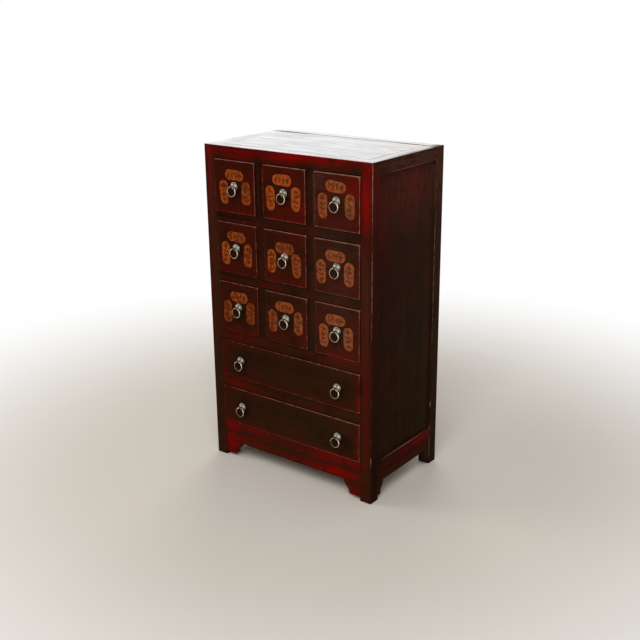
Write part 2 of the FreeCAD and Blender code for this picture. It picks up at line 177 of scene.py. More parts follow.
# relief is a height, strength and distance
def endMaterial(material, colour, roughness, relief, gloss=0.5, **settings):
    normal = addNode("Bump", dict(zip(("Height", "Strength", "Distance"), relief)))[0]
    wire(material.node_tree.nodes["Principled BSDF"], {
        "Base Color": colour, "Roughness": roughness, "Specular IOR Level": gloss, "Normal": normal,
        **settings,
    })
    return material


# one of the piece's own attributes
def attribute(place, name, output="Fac"):
    return addNode("Attribute", {}, place.id_data, attribute_name=name)[output]


# Effects that several finishes share. A pattern is a scale, detail and roughness, then its limits

timber = {
    "streak": ((3, 95, 95), 4, 0.6, 0.25, 0.75), "pores": ((55, 1300, 1300), 2, 0.55, 0.58, 0.72),
    "scratch": ((14, 420, 420), 2, 0.55, 0.66, 0.74), "scratchWhere": (13, 2, 0.55, 0.5, 0.66),
    "smudge": (19, 5, 0.62, 0.5, 0.72),
    "nickScale": 46, "nickSize": (0.055, 0.03), "nickChance": (0.93, 0.95),
}


# Board is the place along, across and through a board in metres
def fillWood(source):
    board, place = source["Board"], source["Place"]
    spots = addNode("TexVoronoi", {"Vector": place, "Scale": timber["nickScale"]})
    small = soften(spots["Distance"], *timber["nickSize"])
    chance = addNode("SeparateColor", {0: spots["Color"]})[0]
    scratch = pattern(board, *timber["scratch"])
    return {
        "Streak": pattern(board, *timber["streak"]), "Pores": pattern(board, *timber["pores"]),
        "Scratch": times(scratch, pattern(place, *timber["scratchWhere"])),
        "Smudge": pattern(place, *timber["smudge"]),
        "Nick": times(small, soften(chance, *timber["nickChance"])),
    }


edgeWear = {"ragged": (75, 5, 0.65), "swing": (5.0, -1.7), "fade": 1.6}


# rubbed arrises: a ragged band that fades with the distance from the edge
def fillWear(source):
    ragged = scaled(pattern(source["Place"], *edgeWear["ragged"]), *edgeWear["swing"])
    inside = maths("SUBTRACT", times(source["Reach"], ragged), source["Edge"])
    past = maths("DIVIDE", inside, source["Reach"])
    return {"Mask": soften(past, 0.0, edgeWear["fade"])}


woodGroup = makeGroup("woodSurface", {"Board": "Vector", "Place": "Vector"}, fillWood)
wearGroup = makeGroup("edgeWear", {"Edge": "Float", "Place": "Vector", "Reach": "Float"}, fillWear)


def rubbedEdge(place, reach):
    sockets = {"Edge": attribute(place, "edge"), "Place": place, "Reach": reach}
    return addNode("Group", sockets, node_tree=wearGroup)["Mask"]


# Finishes

lacquer = {
    "layers": [  # dark undercoat to clear red, by how much red is left
        (0, (0.0115, 0.0035, 0.0015)), (0.3, (0.027, 0.0048, 0.002)), (0.55, (0.056, 0.0034, 0.0016)),
        (0.75, (0.106, 0.002, 0.0012)), (1, (0.2, 0.0012, 0.001)),
    ],
    "kinds": {  # streaks and clouds
        "carcassLacquer": (0.46, 0.48), "postLacquer": (0.2, 0.4), "drawerLacquer": (0.18, 0.45),
        "panelLacquer": (0.2, 0.5), "topLacquer": (0.42, 0.45),
    },
    "worn": (0.006, 0.0, 0.35), "polished": (0.5, 1.0, 0.06),  # specular level, polish and relief
    "cloud": (11, 5, 0.6), "umber": (1.0, 2.1, 1.8, 1), "soot": ((0.011, 0.0045, 0.0018, 1), 0.6),
    "haze": (0.06, 0.025, 0.018, 1), "film": ((28, 130, 130), 5, 0.6, 0.2, 0.65),
    "scratched": (0.15, 0.095, 0.08, 1), "scratchesAnywhere": 0.05,
    "rubbed": ((0.195, 0.105, 0.088, 1), (0.29, 0.105, 0.07, 1)), "redRange": (0.3, 0.8),  # dark and red
    "wearReach": 0.001, "bared": 0.85, "baredDull": 0.25,
    "dulled": ((8, 60, 60), 4, 0.66, 0.4, 0.66), "polishLost": 0.23,
    "roughness": (0.28, 0.85), "coatRoughness": 0.2,
    "ripple": (240, 2, 0.55), "relief": (-0.35, 0.4, -0.4, 0.5),  # of pores, streaks, scratches and ripple
    "reliefDepth": 0.0003,
}


def makeLacquer(name):
    streaking, clouding = lacquer["kinds"][name]
    gloss, polish, emboss = lacquer["polished" if name == "topLacquer" else "worn"]
    material, place = startMaterial(name)
    board = attribute(place, "board", "Vector")
    redLeftAndShade, scuff = attribute(place, "redLeftAndShade"), attribute(place, "scuff")
    wood = addNode("Group", {"Board": board, "Place": place}, node_tree=woodGroup)
    cloud = maths("SUBTRACT", pattern(place, *lacquer["cloud"]), 0.5)
    streak = maths("SUBTRACT", wood["Streak"], 0.5)
    # the red level carries painted shade too: round the pulls and low on the right side
    level = scaled(streak, streaking, scaled(cloud, clouding, redLeftAndShade))
    colour = colourRamp(level, lacquer["layers"])
    colour = mixColour(attribute(place, "umber"), colour, lacquer["umber"], "MULTIPLY")
    colour = over(colour, wood["Smudge"], *lacquer["soot"])
    colour = mixColour(times(scuff, pattern(board, *lacquer["film"])), colour, lacquer["haze"])
    scratch = times(wood["Scratch"], maths("ADD", scuff, lacquer["scratchesAnywhere"]))
    colour = mixColour(scratch, colour, lacquer["scratched"])
    rubbed = mixColour(soften(redLeftAndShade, *lacquer["redRange"]), *lacquer["rubbed"])
    bare = maths("MAXIMUM", rubbedEdge(place, lacquer["wearReach"]), wood["Nick"])
    colour = over(colour, bare, rubbed, lacquer["bared"])
    # the polish is dulled in soft streaks along the boards, and lost where it is scuffed
    dulled = times(pattern(board, *lacquer["dulled"]), lacquer["polishLost"])
    dulled = maths("MAXIMUM", dulled, maths("MINIMUM", scuff, 1.0))
    smooth, rough = lacquer["roughness"]
    dull = scaled(bare, lacquer["baredDull"], scaled(dulled, rough - smooth, smooth))
    relief = 0.0
    heights = wood["Pores"], streak, scratch, pattern(place, *lacquer["ripple"])
    for height, lift in zip(heights, lacquer["relief"]):
        relief = scaled(height, lift, relief)
    return endMaterial(material, colour, dull, (relief, emboss, lacquer["reliefDepth"]), gloss, **{
        "Coat Weight": scaled(dulled, -polish, polish), "Coat Roughness": lacquer["coatRoughness"],
    })


bareWood = {
    "pale": (0.43, 0.285, 0.16, 1), "brown": (0.285, 0.16, 0.078, 1), "pores": 0.35,
    "grime": ((0.13, 0.075, 0.04, 1), 0.4), "roughness": (0.15, 0.66), "relief": (0.3, 0.0003), "gloss": 0.3,
}


def makeBareWood(name, alongAxis):
    material, place = startMaterial(name)
    parts = addNode("SeparateXYZ", {0: place})
    order = [alongAxis] + [axis for axis in range(3) if axis != alongAxis]
    board = addNode("CombineXYZ", {i: parts[axis] for i, axis in enumerate(order)})[0]
    wood = addNode("Group", {"Board": board, "Place": place}, node_tree=woodGroup)
    streak = wood["Streak"]
    colour = mixColour(streak, bareWood["brown"], bareWood["pale"])
    colour = over(colour, wood["Pores"], bareWood["brown"], bareWood["pores"])
    colour = over(colour, wood["Smudge"], *bareWood["grime"])
    relief = maths("SUBTRACT", streak, wood["Pores"]), *bareWood["relief"]
    return endMaterial(material, colour, scaled(streak, *bareWood["roughness"]), relief, bareWood["gloss"])


labelPaint = {
    "paints": ((0.095, 0.018, 0.0032, 1), (0.32, 0.06, 0.008, 1)), "paintedSheen": (0.215, 0.108, 0.062, 1),
    "patch": (95, 5, 0.65), "patchy": 4.2, "levels": (-0.1, 1.1),
    "fleck": (330, 3, 0.6, 0.56, 0.72), "stain": ((0.05, 0.012, 0.003, 1), 0.6),
    "rim": ((0.36, 0.115, 0.034, 1), 0.55), "wearReach": 0.0013,
    "roughness": (0.3, 0.55), "tooth": (900, 3, 0.55), "relief": (0.25, 0.0002), "gloss": 0.01,
}


def makeLabelPaint():
    material, place = startMaterial("labelPaint")
    patch = maths("SUBTRACT", pattern(place, *labelPaint["patch"]), 0.5)
    level = scaled(patch, labelPaint["patchy"], attribute(place, "shade"))
    colour = mixColour(soften(level, *labelPaint["levels"]), *labelPaint["paints"])
    colour = over(colour, pattern(place, *labelPaint["fleck"]), *labelPaint["stain"])
    colour = over(colour, rubbedEdge(place, labelPaint["wearReach"]), *labelPaint["rim"])
    # painted sheen: paler, greyer paint towards the right and lower down
    colour = mixColour(attribute(place, "paintedSheen"), colour, labelPaint["paintedSheen"])
    relief = pattern(place, *labelPaint["tooth"]), *labelPaint["relief"]
    dull = scaled(patch, *labelPaint["roughness"])
    return endMaterial(material, colour, dull, relief, labelPaint["gloss"])


ink = {
    "inks": ((0.034, 0.01, 0.0034, 1), (0.115, 0.025, 0.005, 1)), "worn": (210, 4, 0.65, 0.36, 0.62),
    "dusty": 0.4, "roughness": (0.2, 0.45), "relief": (0.2, 0.0001), "gloss": 0.01,
}


def makeInk():
    material, place = startMaterial("sprigInk")
    worn = pattern(place, *ink["worn"])
    colour = mixColour(worn, *ink["inks"])
    # the ink takes part of the labels' painted sheen
    colour = over(colour, attribute(place, "paintedSheen"), labelPaint["paintedSheen"], ink["dusty"])
    dull = scaled(worn, *ink["roughness"])
    return endMaterial(material, colour, dull, (worn, *ink["relief"]), ink["gloss"])


metal = {
    "kinds": {  # rubbed and tarnished colour, and roughness
        "ringBrass": ((0.76, 0.64, 0.47, 1), (0.3, 0.235, 0.155, 1), 0.3),
        "bossBrass": ((0.38, 0.348, 0.298, 1), (0.24, 0.207, 0.165, 1), 0.42),
    },
    "patch": (150, 5, 0.62), "tarnishRange": (0.4, 0.7), "tarnishDull": 0.12,
    "grime": (0.016, 0.01, 0.006, 1), "grimePatch": 0.5, "grimeRange": (0.4, 1.0), "grimeDull": 0.25,
    "grimeMetal": (-0.5, 1.0), "fine": (900, 3, 0.55), "fineShare": 0.4, "relief": (0.1, 0.0004),
}


def makeMetal(name):
    bright, tarnished, smooth = metal["kinds"][name]
    material, place = startMaterial(name)
    patch = pattern(place, *metal["patch"])
    tarnish = soften(patch, *metal["tarnishRange"])
    # the dark mix carries tarnish in the hollows and painted shade on the boss's lower half, its dome's
    # middle and the ring's inner side
    grime = soften(scaled(patch, metal["grimePatch"], attribute(place, "hollow")), *metal["grimeRange"])
    colour = mixColour(grime, mixColour(tarnish, bright, tarnished), metal["grime"])
    dull = scaled(grime, metal["grimeDull"], scaled(tarnish, metal["tarnishDull"], smooth))
    relief = scaled(pattern(place, *metal["fine"]), metal["fineShare"], patch), *metal["relief"]
    return endMaterial(material, colour, dull, relief, Metallic=scaled(grime, *metal["grimeMetal"]))


carcassFinish, postFinish, drawerFinish, panelFinish, topFinish = map(makeLacquer, lacquer["kinds"])
crossWood, deepWood = makeBareWood("bareWoodAcross", 0), makeBareWood("bareWoodDeep", 1)
paintFinish, inkFinish = makeLabelPaint(), makeInk()
ringFinish, bossFinish = map(makeMetal, metal["kinds"])
print("finishes made")


# Surfaces

weldScale = 1e7  # points that round to the same place at this scale are one


def fullTurn(count):
    return np.linspace(0, 2 * np.pi, count, endpoint=False)


# points from coordinates that are arrays of one shape or plain values
def placed(*parts):
    return np.stack(np.broadcast_arrays(*parts), -1).reshape(-1, len(parts))


def addObject(name, data):
    thing = bpy.data.objects.new(name, data)
    scene.collection.objects.link(thing)
    return thing


# the quads of a grid of points, row by row, closed round where asked
def gridQuads(rows, cols, wrapRows=False, wrapCols=False):
    index = np.arange(rows * cols).reshape(rows, cols)
    index = np.pad(index, ((0, wrapRows), (0, wrapCols)), "wrap")
    return np.stack([index[:-1, :-1], index[1:, :-1], index[1:, 1:], index[:-1, 1:]], -1).reshape(-1, 4)


# welds points that meet, makes triangles of the quads that this narrows, and turns the faces outwards by the
# sign of their volume. Finish is a material number, or one for each quad
def closedSurface(points, quads, finish=0, **values):
    a, b, c, d = points[quads.T]
    turn = -1 if (a * (np.cross(b, c) + np.cross(c, d))).sum() < 0 else 1
    places = np.round(points * weldScale)
    _, first, inverse = np.unique(places, axis=0, return_index=True, return_inverse=True)
    quads = inverse.reshape(-1)[quads]
    same = quads == np.roll(quads, -1, axis=1)
    whole, narrow = (np.flatnonzero(same.sum(1) == count) for count in (0, 1))
    corners = (np.argmax(same[narrow], 1)[:, None] + np.arange(1, 4)) % 4
    triangles = np.take_along_axis(quads[narrow], corners, 1)
    return {
        "points": points[first], "faces": quads[whole, ::turn].tolist() + triangles[:, ::turn].tolist(),
        "values": {
            key: np.broadcast_to(value, np.shape(value) or len(points))[first]
            for key, value in values.items()
        },
        "finish": np.broadcast_to(finish, len(quads))[joined([whole, narrow])],
    }


# joins closed surfaces into one piece that rides on a body and stands for a CAD node
def makePiece(name, surfaces, finishes, body, slot, *nodes):
    faces = []
    start = 0
    for surface in surfaces:
        faces += [[corner + start for corner in face] for face in surface["faces"]]
        start += len(surface["points"])
    mesh = bpy.data.meshes.new(name)
    mesh.from_pydata(joined([s["points"] for s in surfaces]).tolist(), [], faces)
    for key in surfaces[0]["values"]:
        value = joined([s["values"][key] for s in surfaces]).astype(np.float32)
        kind, field = ("FLOAT_VECTOR", "vector") if value.ndim == 2 else ("FLOAT", "value")
        mesh.attributes.new(key, kind, "POINT").data.foreach_set(field, value.ravel())
    mesh.shade_smooth()
    mesh.polygons.foreach_set("material_index", joined([s["finish"] for s in surfaces]).astype(np.int32))
    for finish in finishes:
        mesh.materials.append(finish)
    mesh.update()
    piece = addObject(name, mesh)
    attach(piece, body)
    if nodes:
        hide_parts(*nodes)


# Boards

boards = {
    "arris": 0.0012, "hairline": 0.0002, "support": 0.0008, "step": 0.006, "bend": (45, 30, 15),
    "sound": 0.003,  # how far inside an arris the lacquer is still whole
    "logSize": 9,  # each board is cut from another place in the grain
}
upperFace, innerFace = 5, 3  # a face has the number of twice its axis, and one more on the high side


# soft patches on a face across an axis, each given by its place, width and height in mm, and its strength
def onFace(axis, at, deep, *patches):
    return [
        (np.insert([u, v], axis, at), np.insert([wide, high], axis, deep), strength)
        for u, v, wide, high, strength in np.array(patches) * (mm, mm, mm, mm, 1)
    ]


# how much red lacquer is left, with painted shade taken out of the red low on the right side
redAndShadePatches = [
    *onFace(
        1, frontY, 0.002,
        (0, 834, 400, 20, 0.49), (-78, 812, 24, 13, -0.34), (78, 812, 24, 13, -0.3),  # top rail
        (205, 814, 18, 12, -0.22),
        (234, 748, 14, 80, 0.53), (230, 470, 14, 200, 0.1), (236, 210, 13, 150, 0.08),  # posts
        (-238, 770, 11, 80, 0.32), (-236, 500, 10, 180, 0.16),
        (-180, 222, 50, 14, 0.34), (150, 352, 70, 9, 0.36), (-60, 508, 80, 10, 0.1),  # drawer rails
        (-195, 92, 30, 14, 0.4), (150, 97, 90, 8, 0.36), (20, 86, 60, 12, -0.1), (180, 82, 60, 6, -0.24),
    ),
    *onFace(
        1, frontY + 0.002, 0.002,  # apron
        (-205, 38, 30, 30, 0.3), (150, 62, 60, 12, 0.34), (205, 30, 30, 25, -0.06),
    ),
    *onFace(1, drawerY, 0.002, (200, 780, 22, 26, 0.3), (150, 372, 50, 8, 0.26)),
    *onFace(0, panelX, 0.004, (30, 760, 100, 80, 0.44), (-95, 710, 26, 130, 0.36)),
    *onFace(
        0, sideX, 0.004,  # posts
        # the lowest patch here, on the front post near the floor, is painted shade
        (-127, 800, 20, 60, 0.2), (-127, 520, 22, 220, -0.11), (-127, 80, 22, 220, -0.4),
        (145, 790, 22, 70, 0.12),
    ),
    *onFace(0, sideX, 0.02, (60, 88, 90, 12, 0.4)),  # bottom rail
]

# dusty, scratched places
scuffPatches = [
    *onFace(
        1, frontY, 0.01,  # right drawers
        (155, 740, 70, 70, 0.24), (104, 788, 18, 22, 0.5), (93, 730, 6, 50, 0.7),
        (155, 580, 70, 80, 0.42), (150, 430, 70, 80, 0.26),
    ),
    *onFace(1, frontY, 0.004, (238, 500, 16, 110, 0.26), (-236, 720, 14, 140, 0.22)),  # posts
    *onFace(0, panelX, 0.004, (115, 450, 22, 300, 0.26)),
    *onFace(0, sideX, 0.004, (30, 826, 150, 14, 0.9)),  # top rail
    *onFace(0, sideX, 0.02, (145, 620, 30, 160, 0.22), (145, 800, 26, 80, 1), (45, 765, 135, 90, 0.95)),
    ((-0.195, innerBackY, topZ), (0.06, 0.005, 0.004), 1.5),  # top, along the joint at the back
    ((0.18, innerBackY, topZ), (0.045, 0.0045, 0.004), 1.3),
    ((0, innerBackY, topZ), (0.17, 0.0035, 0.004), 0.6),
]

# arrises on the right side that are rubbed through: middle, spread and reach of the wear
rubbedPatches = [
    ((sideX, 0.009, topZ - section), (0.004, 0.13, 0.004), 0.0042),  # over and under the side panel
    # the ledge below the panel is paler partly as a painted highlight on its upper face
    ((sideX, 0.009, 0.104), (0.006, 0.13, 0.004), 0.0034),
    *(((sideX, y, z), (thick, thick, high), reach) for y, z, thick, high, reach in (  # upright ones
        (frontY, 0.79, 0.005, 0.09, 0.0034), (frontY, 0.56, 0.005, 0.12, 0.0027),
        (frontY, 0.22, 0.005, 0.3, 0.0016), (frontY, 0.118, 0.006, 0.007, 0.003),
        (innerFrontY, 0.7, 0.004, 0.12, 0.003), (innerBackY, 0.52, 0.004, 0.33, 0.0026),
        (innerBackY, 0.17, 0.006, 0.008, 0.0046), (innerBackY, 0.055, 0.004, 0.06, 0.0028),
    )),
]

# how brown the red has turned: at the origin, then per metre to the right and up, and in soft patches
umber = {
    "share": 0.97, "right": 1.5, "up": -1.0,
    "patches": [
        *onFace(1, frontY, 0.002, (236, 750, 20, 80, -0.5)),  # posts
        *onFace(1, frontY, 0.004, (-234, 500, 20, 350, 0.9)),
        *onFace(1, frontY, 0.01, (-50, 80, 250, 50, 0.35)),  # bottom rails
        *onFace(0, sideX, 0.004, (0, 80, 140, 50, -1.2)),
        *onFace(0, sideX, 0.003, (-127, 400, 30, 600, -1.1)),  # side: front post, front half of the panel
        ((panelX, frontY, 0.4), (0.004, 0.14, 0.6), -0.6),
    ],
}


# adds up soft patches at every point: strength times a bell curve in each direction
def patchSum(points, patches):
    middles, spreads, strengths = map(np.array, zip(*patches))
    return np.exp(-(((points[:, None] - middles) / spreads) ** 2).sum(-1)) @ strengths


# what the lacquer has been through at every point, with the painted shade in its red
def lacquerState(points, red):
    brown = umber["share"] + umber["right"] * points[:, 0] + umber["up"] * points[:, 2]
    return {
        "redLeftAndShade": red + patchSum(points, redAndShadePatches), "scuff": patchSum(points, scuffPatches),
        "umber": brown + patchSum(points, umber["patches"]),
    }


def grainStart():
    return draw.uniform(0, boards["logSize"], 3)


# places along one side of a board: close together round its two arrises, then evenly between them
def boardLine(low, high, rounding):
    bend = rounding * (1 - np.tan(np.radians(boards["bend"])))
    inset = rounding + boards["support"]
    count = max(2, int(np.ceil((high - low - 2 * inset) / boards["step"])) + 1)
    flat = np.linspace(low + inset, high - inset, count)
    return joined([low + bend, [low + rounding], flat, [high - rounding], high - bend[::-1]])


# a board with soft arrises: its faces are six grids, and every point goes to the nearest point of the inner
# core plus the rounding in that direction. Jointed ends keep a hairline only. Sound may differ by side
def board(low, high, along, red, jointed=True, arris=None, shape=None, second=-1, sound=boards["sound"]):
    low, high = np.array(low, float), np.array(high, float)
    rounding = np.full(3, arris or boards["arris"])
    if jointed:
        rounding[along] = boards["hairline"]
    sound = np.broadcast_to(sound, (3, 2))
    lines = [boardLine(low[axis], high[axis], rounding[axis]) for axis in range(3)]
    points, quads, edge, facing = [], [], [], []
    start = 0
    for face in range(6):
        axis, side = divmod(face, 2)
        a, b = (axis + 1) % 3, (axis + 2) % 3
        grid = np.empty((len(lines[a]), len(lines[b]), 3))
        grid[..., axis] = (low, high)[side][axis]
        grid[..., a], grid[..., b] = np.meshgrid(lines[a], lines[b], indexing="ij")
        gaps = np.minimum(grid - low + sound[:, 0], high - grid + sound[:, 1]) - rounding
        gaps[..., [axis, along] if jointed else axis] = np.inf
        faceQuads = gridQuads(*grid.shape[:2]) + start
        points.append(grid.reshape(-1, 3))
        edge.append(gaps.min(-1).ravel())
        quads.append(faceQuads if side else faceQuads[:, ::-1])
        facing.append(np.full(len(faceQuads), face))
        start += len(points[-1])
    points, facing = joined(points), joined(facing)
    core = np.clip(points, low + rounding, high - rounding)
    reach = (points - core) / rounding
    points = core + rounding * reach / np.linalg.norm(reach, axis=1, keepdims=True)
    order = [along] + [axis for axis in range(3) if axis != along]
    grainPlace = (points - low)[:, order] + grainStart()
    if shape:
        shape(points)
    return closedSurface(
        points, joined(quads), facing == second, board=grainPlace,
        edge=joined(edge) - patchSum(points, rubbedPatches), **lacquerState(points, red),
    )


# members at a top corner meet on its diagonal planes, so each is cut back by the greater of its two depths
def mitred(axis, low, high, lowCut=1):
    def shape(points):
        x, y, z = points.T
        depths = np.stack([sideX - np.abs(x), np.minimum(y - frontY, backY - y), topZ - z])
        depth = np.clip(np.delete(depths, axis, 0).max(0), 0, section)
        share = (points[:, axis] - low) / (high - low)
        points[:, axis] = low + lowCut * depth + share * (high - low - (1 + lowCut) * depth)
    return shape


redness = {
    "frontPosts": (0.31, 0.42), "backPosts": 0.22, "topFrame": 0.33, "topPanel": 0.3, "sidePanels": 0.2,
    "backPanel": 0.08, "drawerRails": (0.2, 0.2, 0.34, 0.34), "muntins": 0.2, "bottomRails": 0.6,
    "aprons": 0.6, "backRail": 0.05, "sidePaler": 0.22,
}


def carcassPiece(name, surfaces, node, *finishes):
    makePiece(name, surfaces, finishes, "carcass", "lacquer", node)


for name, node, y in (("frontPosts", "front_posts", frontY), ("backPosts", "back_posts", innerBackY)):
    reds = np.broadcast_to(redness[name], 2)
    posts = [
        board((x, y, 0), (x + section, y + section, topZ), 2, red, shape=mitred(2, 0, topZ, 0))
        for x, red in zip((-sideX, innerX), reds)
    ]
    carcassPiece(name, posts, node, postFinish)

# top frame
red, z = redness["topFrame"], topZ - section
across, deep = mitred(0, -sideX, sideX), mitred(1, frontY, backY)
rails = [
    board((-sideX, y, z), (sideX, y + section, topZ), 0, red, shape=across, second=upperFace)
    for y in (frontY, innerBackY)
]
rails += [
    board((x, frontY, z), (x + section, backY, topZ), 1, red, shape=deep, second=upperFace)
    for x in (-sideX, innerX)
]
carcassPiece("topFrame", rails, "top_frame", carcassFinish, topFinish)


# boards glued edge to edge, their seams no more than hairlines
def gluedBoards(low, high, across, count, along, red, arris, second=-1):
    cuts = np.linspace(low[across], high[across], count + 1)
    made = []
    for a, b in zip(cuts, cuts[1:]):
        start, stop = np.array(low, float), np.array(high, float)
        start[across], stop[across] = a, b
        made.append(board(start, stop, along, red, arris=arris, second=second))
    return made


panels = {
    "thickness": 0.01, "arris": 0.0004, "topArris": 0.0005, "topBoards": 3, "sideBoards": 2, "backBoards": 4,
    "sideGap": 0.0005, "frontGap": 0.0003, "backGap": 0.0016, "tongueDepth": 0.0061,  # of the top
}

# the top lies on a tongue that runs round below the shrinkage gap
low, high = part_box("top_panel")
x, arris = innerX - panels["sideGap"], panels["topArris"]
start = (-x, innerFrontY + panels["frontGap"], low.z)
stop = (x, innerBackY - panels["backGap"], topZ)
field = gluedBoards(start, stop, 1, panels["topBoards"], 0, redness["topPanel"], arris, upperFace)
tongue = board(low, (high.x, high.y, topZ - panels["tongueDepth"]), 0, 0.0, arris=arris)
carcassPiece("topPanel", field + [tongue], "top_panel", carcassFinish, topFinish)

# side and back panels
low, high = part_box("side_panels")
thick, arris = panels["thickness"], panels["arris"]
sides = []
for start, stop in (((high.x - thick, *low.yz), high), (low, (low.x + thick, *high.yz))):
    sides += gluedBoards(start, stop, 1, panels["sideBoards"], 2, redness["sidePanels"], arris)
carcassPiece("sidePanels", sides, "side_panels", panelFinish)
back = gluedBoards(*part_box("back_panel"), 0, panels["backBoards"], 2, redness["backPanel"], arris)
carcassPiece("backPanel", back, "back_panel", panelFinish)


# an opening reaches past its drawer front by the running gap
def openingZ(name):
    low, high = frontBox(name)
    return low.z - drawerGap, high.z + drawerGap


# rails and muntins round the openings
rows = [openingZ(name) for name in ("top_left", "middle_left", "lower_left", *wideRows)]
rails = [
    board((-innerX, frontY, below[1]), (innerX, railBackY, above[0]), 0, red)
    for above, below, red in zip(rows, rows[1:], redness["drawerRails"])
]
carcassPiece("drawerRails", rails, "drawer_rails", carcassFinish)

muntins = []
for row in smallRows:
    low, high = openingZ(f"{row}_left")
    for left, right in zip(columns, columns[1:]):
        start = frontBox(f"{row}_{left}")[1].x + drawerGap
        stop = frontBox(f"{row}_{right}")[0].x - drawerGap
        muntins.append(board((start, frontY, low), (stop, railBackY, high), 2, redness["muntins"]))
carcassPiece("muntinBars", muntins, "muntins", carcassFinish)

low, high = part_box("bottom_rails")[0].z, openingZ("bottom_wide")[0]
depth = railBackY - frontY
red = redness["bottomRails"]
bottom = [
    board((-innerX, frontY, low), (innerX, railBackY, high), 0, red),
    board((-innerX, backY - depth, low), (innerX, backY, high), 0, redness["backRail"]),
]
red -= redness["sidePaler"]
for x in (-sideX, sideX - depth):
    bottom.append(board((x, innerFrontY, low), (x + depth, innerBackY, high), 1, red))
carcassPiece("bottomRails", bottom, "bottom_rails", carcassFinish)


# Aprons

apron = {
    "setback": 0.002, "thickness": 0.014, "clearance": 0.044, "toe": 0.009, "toeRound": 0.004,
    "swell": 0.0018, "arris": 0.0013, "front": (0.052, 0.034), "side": (0.026, 0.014),  # cusp and ankle
    "edgePoints": (8, 7, 21),  # on the sole, the quarter round and the ogee
    "facePoints": 6, "arrisPoints": 5,
}


# half of the lower edge, as distance from the post and height: a flat sole, a quarter round, an ogee that
# bows by a sine, then straight
def apronEdge(halfLength, cusp, ankle):
    toe, bend, clearance = apron["toe"], apron["toeRound"], apron["clearance"]
    soleCount, turnCount, riseCount = apron["edgePoints"]
    sole = np.linspace(0, ankle - bend, soleCount)
    turn = np.radians(np.linspace(0, 90, turnCount))[1:]
    rise = np.linspace(0, 1, riseCount)[1:]
    straight = np.linspace(cusp, halfLength, int((halfLength - cusp) / boards["step"]) + 2)[1:]
    away = joined([
        sole, ankle - bend + bend * np.sin(turn),
        ankle + (cusp - ankle) * rise - apron["swell"] * np.sin(2 * np.pi * rise), straight,
    ])
    up = joined([
        np.full(soleCount, toe), toe + bend * (1 - np.cos(turn)),
        toe + bend + (clearance - toe - bend) * rise, np.full(len(straight), clearance),
    ])
    return away, up


# a rounded plate carried along its lower edge: each point of its section has a depth, a lift above the edge
# and a share of the way from there to the top
def apronBoard(halfLength, cusp, ankle, top, place, red):
    away, up = apronEdge(halfLength, cusp, ankle)
    along = joined([away - halfLength, (halfLength - away)[-2::-1]])[:, None]
    low = joined([up, up[-2::-1]])[:, None]
    r, t = apron["arris"], apron["thickness"]
    turn = np.radians(np.linspace(0, 90, apron["arrisPoints"]))
    shares = np.linspace(0, 1, apron["facePoints"])[1:]
    depth = joined([r - r * np.sin(turn[::-1]), [r, t - r], t - r + r * np.sin(turn)])
    lift = joined([r - r * np.cos(turn[::-1]), [0, 0], r - r * np.cos(turn)])
    share = joined([shares[::-1], np.zeros(len(depth)), shares])
    depth = np.pad(depth, len(shares), constant_values=(0, t))
    lift = np.pad(lift, len(shares), constant_values=r)
    rise = share * (top - low - lift)
    z = low + lift + rise
    edge = rise - np.where(share > 0, 0, r) + boards["sound"]
    points = place(along, depth, z)
    rows, cols = z.shape
    # each end is closed from the front half of the section to the back half
    near = np.arange(cols // 2 - 1)
    cap = np.stack([near, near + 1, cols - 2 - near, cols - 1 - near], 1)
    quads = joined([gridQuads(rows, cols, wrapCols=True), cap[:, ::-1], cap + (rows - 1) * cols])
    grainPlace = placed(along, z, depth) + grainStart()
    return closedSurface(points, quads, board=grainPlace, edge=edge.ravel(), **lacquerState(points, red))


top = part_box("bottom_rails")[0].z
red = redness["aprons"]
made = [apronBoard(
    innerX, *apron["front"], top,
    lambda s, d, z: placed(s, frontY + apron["setback"] + d, z), red,
)]
middle = (frontY + backY) / 2
for side in (-1, 1):
    made.append(apronBoard(
        (backY - frontY) / 2 - section, *apron["side"], top,
        lambda s, d, z: placed(side * (sideX - apron["setback"] - d), middle + s, z),
        red - redness["sidePaler"],
    ))
carcassPiece("apronBoards", made, "aprons", carcassFinish)
print("carcass boards made")


# Drawer fronts

fronts = {
    "arris": 0.0015, "socketFrom": 0.0068, "socketInset": 0.0002,
    "red": (0.38, 0.46, 0.44, 0.39, 0.4, 0.37, 0.38, 0.35, 0.4, 0.27, 0.25),  # row by row
    "redTilt": (0.03, -0.06), "rimWidth": 0.006, "redRim": {"small": 0.14, "wide": 0.3},
    "redEnds": 0.16, "endWidth": 0.03,  # the wide ones are redder towards both ends
    "pullShade": 0.36, "pullReach": 0.02,  # painted shadow of the pull, to its right and below it, with some grime where hands reach for the ring
    "pullRight": 0.005, "pullDrop": 0.009,
    "sound": {  # left and right, face and back, foot and head
        "small": ((0.0009, 0.0014), (0.001, 0.003), (0.0008, 0.0002)),
        "wide": ((0.0016, 0.003), (0.0012, 0.003), (0.0007, 0.001)),
    },
    "chip": 0.0011, "chipReach": 0.0026,  # at the upper right corner
    "rubbed": {"top": 0.0005, "middle": 0.0002, "bottom": 0.0004},  # some rows are rubbed through further
    "rubbedRight": 0.0024,  # and along head and foot more to the right, per metre
}


def ringNodes(name):
    return [f"ring_{name}"] if name in smallDrawers else [f"ring_{name}_left", f"ring_{name}_right"]


